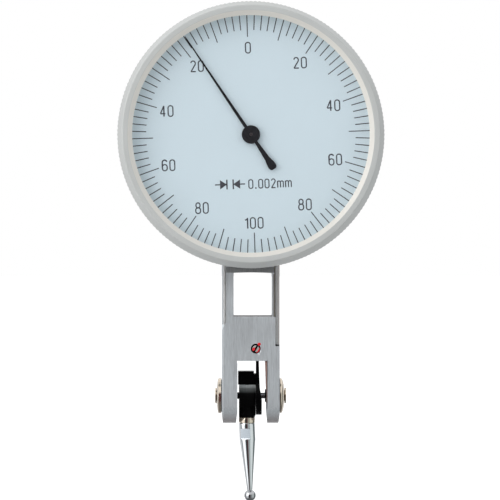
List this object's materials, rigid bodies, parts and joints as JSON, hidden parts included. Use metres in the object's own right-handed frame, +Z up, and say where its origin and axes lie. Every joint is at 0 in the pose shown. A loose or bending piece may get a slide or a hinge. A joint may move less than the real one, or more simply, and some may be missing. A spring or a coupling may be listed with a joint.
{
  "type": "dial test indicator",
  "caption": "Lever-type dial test indicator: round turning dial on a dovetailed bar, with a forked end, pivoting lever and ball-tipped stylus.",
  "frame": {"origin": "centre of the flat case back, on the pointer axis", "axes": "+Z up from the stylus to the dial, +Y out of the back, so the dial faces -Y, +X to the right as the dial is read"},
  "size_m": [0.04, 0.0152, 0.076],
  "materials": {
    "bar_steel": "steel brushed lengthwise",
    "rail_steel": "ground steel",
    "satin_chrome": "satin chrome",
    "screw_steel": "turned steel",
    "spring_steel": "blued spring steel",
    "crystal_clear": "clear flat crystal",
    "spacer_cream": "matt cream ring",
    "dial_white": "pale bluish white with dark printing",
    "brass": "plain brass",
    "ruby": "polished synthetic ruby",
    "pointer_black": "matt black",
    "black_oxide": "black oxide",
    "nickel": "bright nickel",
    "polished_chrome": "polished chrome",
    "carbide": "polished carbide"
  },
  "bodies": {
    "case": {"frame": "bar_steel", "side_cover": "rail_steel", "side_cover_screw_1": "screw_steel", "side_cover_screw_2": "screw_steel", "back_cover": "bar_steel", "back_cover_screw_1": "screw_steel", "back_cover_screw_2": "screw_steel", "back_cover_screw_3": "screw_steel", "back_cover_screw_4": "screw_steel", "case_body": "satin_chrome", "case_screw_1": "screw_steel", "case_screw_2": "screw_steel", "case_screw_3": "screw_steel", "case_screw_4": "screw_steel", "bezel_spring": "spring_steel", "movement_plate": "brass", "plate_screw_1": "screw_steel", "plate_screw_2": "screw_steel", "arbor_jewel_front": "ruby", "arbor_jewel_rear": "ruby", "crown_jewel_left": "ruby", "crown_jewel_right": "ruby", "hairspring": "spring_steel", "hairspring_stud": "brass", "transfer_pin": "screw_steel", "adjusting_screw": "black_oxide", "bearing_left": "ruby", "bearing_right": "black_oxide", "pivot_cap_left": "nickel", "end_screw_left": "nickel", "pivot_cap_right": "nickel", "end_screw_right": "nickel"},
    "bezel": {"bezel_ring": "satin_chrome", "crystal": "crystal_clear", "dial_spacer": "spacer_cream", "dial_plate": "dial_white", "dial_retainer": "brass"},
    "pointer": {"pointer_hand": "pointer_black", "pointer_arbor": "screw_steel", "hairspring_collet": "brass"},
    "crown": {"crown_gear": "brass", "crown_shaft": "screw_steel"},
    "transfer": {"transfer_lever": "brass"},
    "lever": {"lever_axle": "screw_steel", "lever_arm": "black_oxide", "contact_pin": "screw_steel", "clutch_block": "black_oxide", "clutch_screw": "black_oxide", "clutch_collar": "black_oxide"},
    "stylus": {"swivel_hub": "black_oxide", "stylus_collar": "nickel", "stylus": "polished_chrome", "contact_ball": "carbide"}
  },
  "joints": [
    {"name": "bezel_turn", "type": "hinge", "parent": "case", "child": "bezel", "pos_m": [0, -0.0125, 0], "axis": [0, 1, 0], "continuous": true},
    {"name": "pointer_spin", "type": "hinge", "parent": "case", "child": "pointer", "pos_m": [0, -0.01, 0], "axis": [0, 1, 0], "range_deg": [0, 432], "stiffness_Nm_per_rad": 0.0000006, "springref_deg": -458.37},
    {"name": "crown_spin", "type": "hinge", "parent": "case", "child": "crown", "pos_m": [0, -0.004, 0], "axis": [1, 0, 0], "range_deg": [-98.3, 0]},
    {"name": "transfer_swing", "type": "hinge", "parent": "case", "child": "transfer", "pos_m": [0, -0.004, -0.0301], "axis": [1, 0, 0], "range_deg": [0, 2.73]},
    {"name": "lever_swing", "type": "hinge", "parent": "case", "child": "lever", "pos_m": [0, -0.004, -0.0397], "axis": [1, 0, 0], "range_deg": [-0.9, 0]},
    {"name": "stylus_swivel", "type": "hinge", "parent": "lever", "child": "stylus", "pos_m": [0, -0.004, -0.0397], "axis": [1, 0, 0], "range_deg": [-110, 110]}
  ],
  "couplings": [
    {"joint": "crown_spin", "follows": "pointer_spin", "ratio": -0.22727},
    {"joint": "transfer_swing", "follows": "pointer_spin", "ratio": 0.0062851},
    {"joint": "lever_swing", "follows": "pointer_spin", "ratio": -0.0020669}
  ]
}
